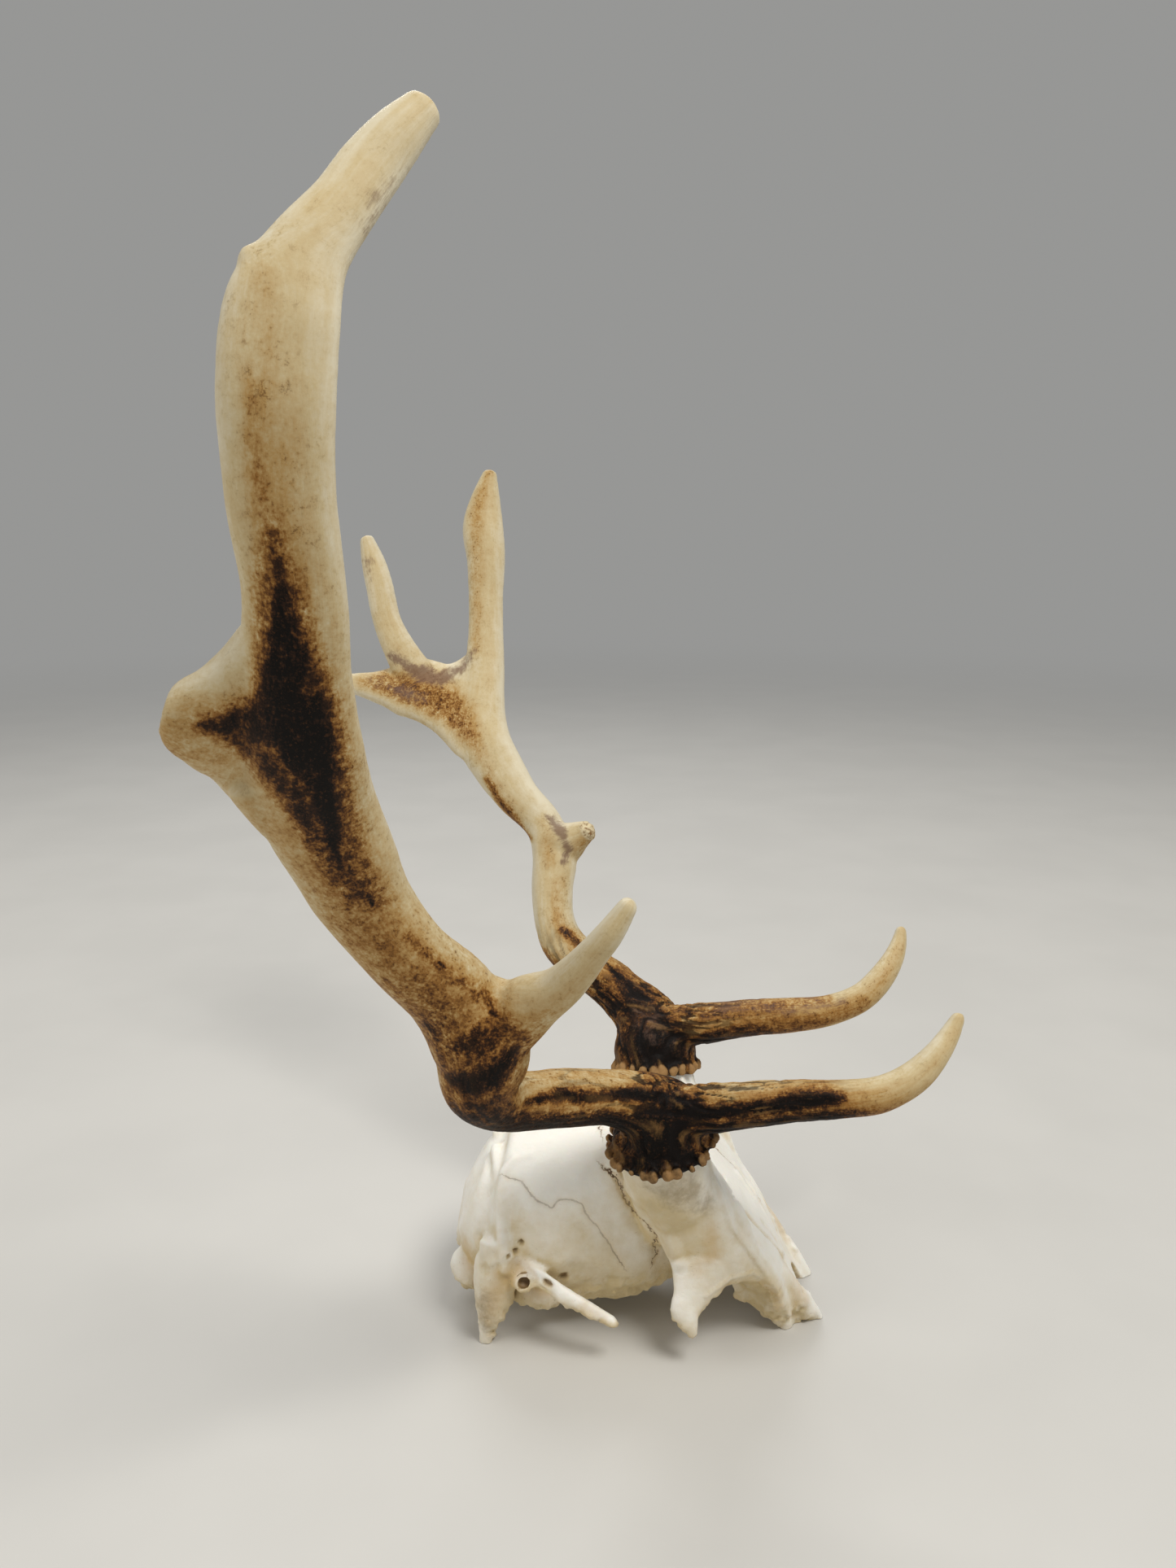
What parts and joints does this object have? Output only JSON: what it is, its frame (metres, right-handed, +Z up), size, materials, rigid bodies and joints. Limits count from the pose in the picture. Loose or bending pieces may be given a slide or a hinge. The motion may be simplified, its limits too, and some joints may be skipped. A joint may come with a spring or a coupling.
{
  "type": "deer skull cap with antlers",
  "caption": "Broken skull cap of a deer with both antlers: forked beams and curved brow tines on knobbly burrs, standing on its bone points as a display piece.",
  "frame": {"origin": "middle of the bounding box in x and y, on the surface that the bone points stand on", "axes": "+Z up, +X the way the animal faces, +Y to the animal's left"},
  "size_m": [0.3161, 0.4232, 0.4733],
  "materials": {
    "bone": "dry ivory bone, matt with a faint sheen",
    "antler_dark": "brown antler, grooved, semi-matt",
    "antler_pale": "cream antler stained brown, smooth, semi-matt"
  },
  "bodies": {
    "root": {"skull": "bone", "right_lower_beam": "antler_dark", "right_brow_tine": "antler_dark", "right_trez_tine": "antler_pale", "right_upper_beam": "antler_pale", "right_rear_tine": "antler_pale", "left_lower_beam": "antler_dark", "left_brow_tine": "antler_dark", "left_trez_tine": "antler_pale", "left_upper_beam": "antler_pale", "left_rear_branch": "antler_pale", "left_rear_tine": "antler_pale"}
  },
  "joints": []
}
